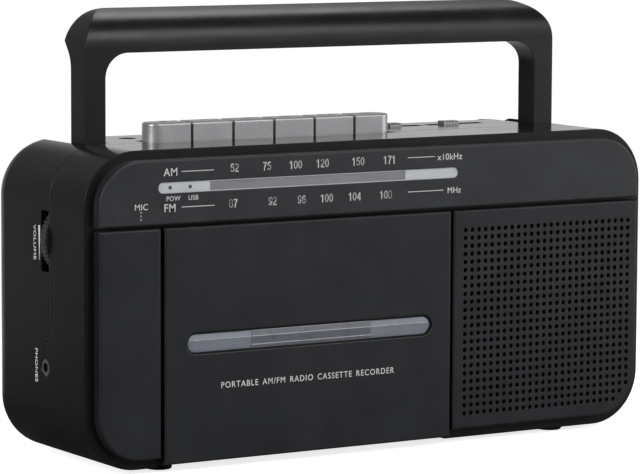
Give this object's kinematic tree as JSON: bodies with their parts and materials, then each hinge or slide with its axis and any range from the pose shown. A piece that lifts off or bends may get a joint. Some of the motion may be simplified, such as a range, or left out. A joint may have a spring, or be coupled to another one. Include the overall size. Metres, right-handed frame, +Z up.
{
  "type": "portable radio cassette recorder",
  "caption": "Portable AM/FM radio cassette recorder with a fold-back carry handle, piano keys, a hinged tape door, a perforated speaker panel and a telescopic aerial.",
  "frame": {"origin": "on the resting plane of the feet, under the middle of the cabinet", "axes": "+X to the right along the front, +Y towards the back, +Z up; the front panels face -Y"},
  "size_m": [0.2526, 0.0801, 0.1698],
  "materials": {
    "cabinet": "moulded, semi-gloss black",
    "panel": "moulded, satin charcoal",
    "inner_plastic": "moulded black, fine texture",
    "dial_clear": "clear strip, polished",
    "dial_card": "pale grey card",
    "led_lens": "unlit red lens",
    "window_clear": "smoked clear plastic",
    "key_silver": "silver-grey paint, satin",
    "steel": "zinc plated",
    "bright_metal": "bright plated",
    "brass": "turned",
    "rubber": "matt black",
    "spindle_plastic": "off-white moulding",
    "pointer": "red-orange moulding",
    "component": "brown phenolic",
    "capacitor_case": "cream moulding",
    "board": "phenolic sheet with traces",
    "laminations": "varnished steel stack",
    "copper": "enamelled copper winding",
    "ferrite": "dark sintered ferrite",
    "speaker_frame": "black painted pressing",
    "cone_paper": "black pulp cone",
    "mic_metal": "drawn can"
  },
  "bodies": {
    "case": {"front_cabinet": "cabinet", "rear_cabinet": "cabinet", "rear_panel": "cabinet", "dial_panel": "panel", "dial_window": "dial_clear", "dial_backplate": "dial_card", "status_leds": "led_lens", "left_front_panel": "panel", "speaker_grille": "panel", "speaker_basket": "speaker_frame", "speaker_cone": "cone_paper", "speaker_magnet": "ferrite", "microphone": "mic_metal", "door_hinge_rod": "steel", "tape_chassis": "steel", "key_rod": "steel", "tape_motor": "steel", "drive_belt": "rubber", "volume_control": "component", "tuning_capacitor": "capacitor_case", "function_switch": "steel", "band_switch": "steel", "phones_jack": "bright_metal", "aux_jack": "bright_metal", "mains_inlet": "inner_plastic", "battery_case": "inner_plastic", "battery_contacts": "bright_metal", "main_board": "board", "power_transformer": "laminations", "ferrite_rod": "ferrite", "ferrite_coil": "copper", "rubber_feet": "rubber", "cabinet_screws": "steel"},
    "handle": {"carry_handle": "cabinet"},
    "door": {"cassette_door": "panel", "door_window": "window_clear", "cassette_holder": "inner_plastic"},
    "record_key": {"record_key": "key_silver"},
    "play_key": {"play_key": "key_silver"},
    "rewind_key": {"rewind_key": "key_silver"},
    "fast_forward_key": {"fast_forward_key": "key_silver"},
    "stop_eject_key": {"stop_eject_key": "key_silver"},
    "pause_key": {"pause_key": "key_silver"},
    "volume_wheel": {"volume_wheel": "inner_plastic"},
    "tuning_wheel": {"tuning_wheel": "inner_plastic"},
    "dial_pointer": {"dial_pointer": "pointer"},
    "function_switch_knob": {"function_switch_knob": "key_silver"},
    "band_switch_knob": {"band_switch_knob": "key_silver"},
    "motor_pulley": {"motor_pulley": "brass"},
    "flywheel": {"flywheel": "steel"},
    "take_up_spindle": {"take_up_spindle": "spindle_plastic"},
    "supply_spindle": {"supply_spindle": "spindle_plastic"},
    "head_bridge": {"head_bridge": "steel", "tape_heads": "bright_metal"},
    "pinch_roller": {"pinch_roller": "rubber"},
    "antenna_swivel": {"antenna_swivel": "bright_metal"},
    "antenna_base_tube": {"antenna_base_tube": "bright_metal"},
    "antenna_middle_tube": {"antenna_middle_tube": "bright_metal"},
    "antenna_tip": {"antenna_tip": "bright_metal"},
    "battery_cover": {"battery_cover": "cabinet"}
  },
  "joints": [
    {"name": "handle_fold", "type": "hinge", "parent": "case", "child": "handle", "pos_m": [0, 0.0043, 0.11], "axis": [-1, 0, 0], "range_deg": [0, 90]},
    {"name": "door_open", "type": "hinge", "parent": "case", "child": "door", "pos_m": [-0.0309, -0.034, 0.0095], "axis": [1, 0, 0], "range_deg": [0, 30]},
    {"name": "record_press", "type": "hinge", "parent": "case", "child": "record_key", "pos_m": [-0.0743, 0.02, 0.1143], "axis": [1, 0, 0], "range_deg": [0, 6], "stiffness_Nm_per_rad": 0.1, "springref_deg": -11.46},
    {"name": "play_press", "type": "hinge", "parent": "case", "child": "play_key", "pos_m": [-0.05624, 0.02, 0.1143], "axis": [1, 0, 0], "range_deg": [0, 6]},
    {"name": "rewind_press", "type": "hinge", "parent": "case", "child": "rewind_key", "pos_m": [-0.03818, 0.02, 0.1143], "axis": [1, 0, 0], "range_deg": [0, 6], "stiffness_Nm_per_rad": 0.1, "springref_deg": -11.46},
    {"name": "fast_forward_press", "type": "hinge", "parent": "case", "child": "fast_forward_key", "pos_m": [-0.02012, 0.02, 0.1143], "axis": [1, 0, 0], "range_deg": [0, 6], "stiffness_Nm_per_rad": 0.1, "springref_deg": -11.46},
    {"name": "stop_eject_press", "type": "hinge", "parent": "case", "child": "stop_eject_key", "pos_m": [-0.00206, 0.02, 0.1143], "axis": [1, 0, 0], "range_deg": [0, 6], "stiffness_Nm_per_rad": 0.1, "springref_deg": -11.46},
    {"name": "pause_press", "type": "hinge", "parent": "case", "child": "pause_key", "pos_m": [0.016, 0.02, 0.1143], "axis": [1, 0, 0], "range_deg": [0, 6], "stiffness_Nm_per_rad": 0.1, "springref_deg": -11.46},
    {"name": "volume_turn", "type": "hinge", "parent": "case", "child": "volume_wheel", "pos_m": [-0.1109, -0.005, 0.085], "axis": [0, 1, 0], "range_deg": [-135, 135]},
    {"name": "tuning_turn", "type": "hinge", "parent": "case", "child": "tuning_wheel", "pos_m": [0.1109, -0.005, 0.085], "axis": [0, 1, 0], "range_deg": [-126, 171]},
    {"name": "pointer_travel", "type": "slide", "parent": "case", "child": "dial_pointer", "axis": [1, 0, 0], "range_m": [-0.0331, 0.0449]},
    {"name": "function_slide", "type": "slide", "parent": "case", "child": "function_switch_knob", "axis": [1, 0, 0], "range_m": [0, 0.0096]},
    {"name": "band_slide", "type": "slide", "parent": "case", "child": "band_switch_knob", "axis": [1, 0, 0], "range_m": [-0.0068, 0.0114]},
    {"name": "motor_spin", "type": "hinge", "parent": "case", "child": "motor_pulley", "pos_m": [0.012, -0.015, 0.03], "axis": [0, 1, 0], "continuous": true},
    {"name": "capstan_spin", "type": "hinge", "parent": "case", "child": "flywheel", "pos_m": [-0.0619, -0.015, 0.0743], "axis": [0, 1, 0], "continuous": true},
    {"name": "take_up_spin", "type": "hinge", "parent": "case", "child": "take_up_spindle", "pos_m": [-0.05215, -0.025, 0.0479], "axis": [0, 1, 0], "continuous": true},
    {"name": "supply_spin", "type": "hinge", "parent": "case", "child": "supply_spindle", "pos_m": [-0.00965, -0.025, 0.0479], "axis": [0, 1, 0], "continuous": true},
    {"name": "head_advance", "type": "slide", "parent": "case", "child": "head_bridge", "axis": [0, 0, -1], "range_m": [0, 0.0045], "stiffness_N_per_m": 100, "springref_m": -0.004},
    {"name": "pinch_spin", "type": "hinge", "parent": "head_bridge", "child": "pinch_roller", "pos_m": [-0.0619, -0.025, 0.0857], "axis": [0, 1, 0], "continuous": true},
    {"name": "antenna_lift", "type": "hinge", "parent": "case", "child": "antenna_swivel", "pos_m": [0.088, 0.0333, 0.1143], "axis": [-0.9995, 0.0314, 0], "range_deg": [0, 60]},
    {"name": "antenna_tilt", "type": "hinge", "parent": "antenna_swivel", "child": "antenna_base_tube", "pos_m": [0.088, 0.0333, 0.1143], "axis": [0.0314, 0.9995, 0], "range_deg": [0, 90]},
    {"name": "antenna_middle_slide", "type": "slide", "parent": "antenna_base_tube", "child": "antenna_middle_tube", "axis": [-0.9995, 0.0314, 0], "range_m": [0, 0.1]},
    {"name": "antenna_tip_slide", "type": "slide", "parent": "antenna_middle_tube", "child": "antenna_tip", "axis": [-0.9995, 0.0314, 0], "range_m": [0, 0.1]},
    {"name": "battery_cover_off", "type": "slide", "parent": "case", "child": "battery_cover", "axis": [0, 1, 0], "range_m": [0, 0.03]}
  ],
  "couplings": [
    {"joint": "pointer_travel", "follows": "tuning_turn", "m_per_rad": 0.015},
    {"joint": "motor_spin", "follows": "capstan_spin", "ratio": 6},
    {"joint": "take_up_spin", "follows": "capstan_spin", "ratio": 0.072},
    {"joint": "play_press", "follows": "head_advance", "rad_per_m": 23.27}
  ]
}
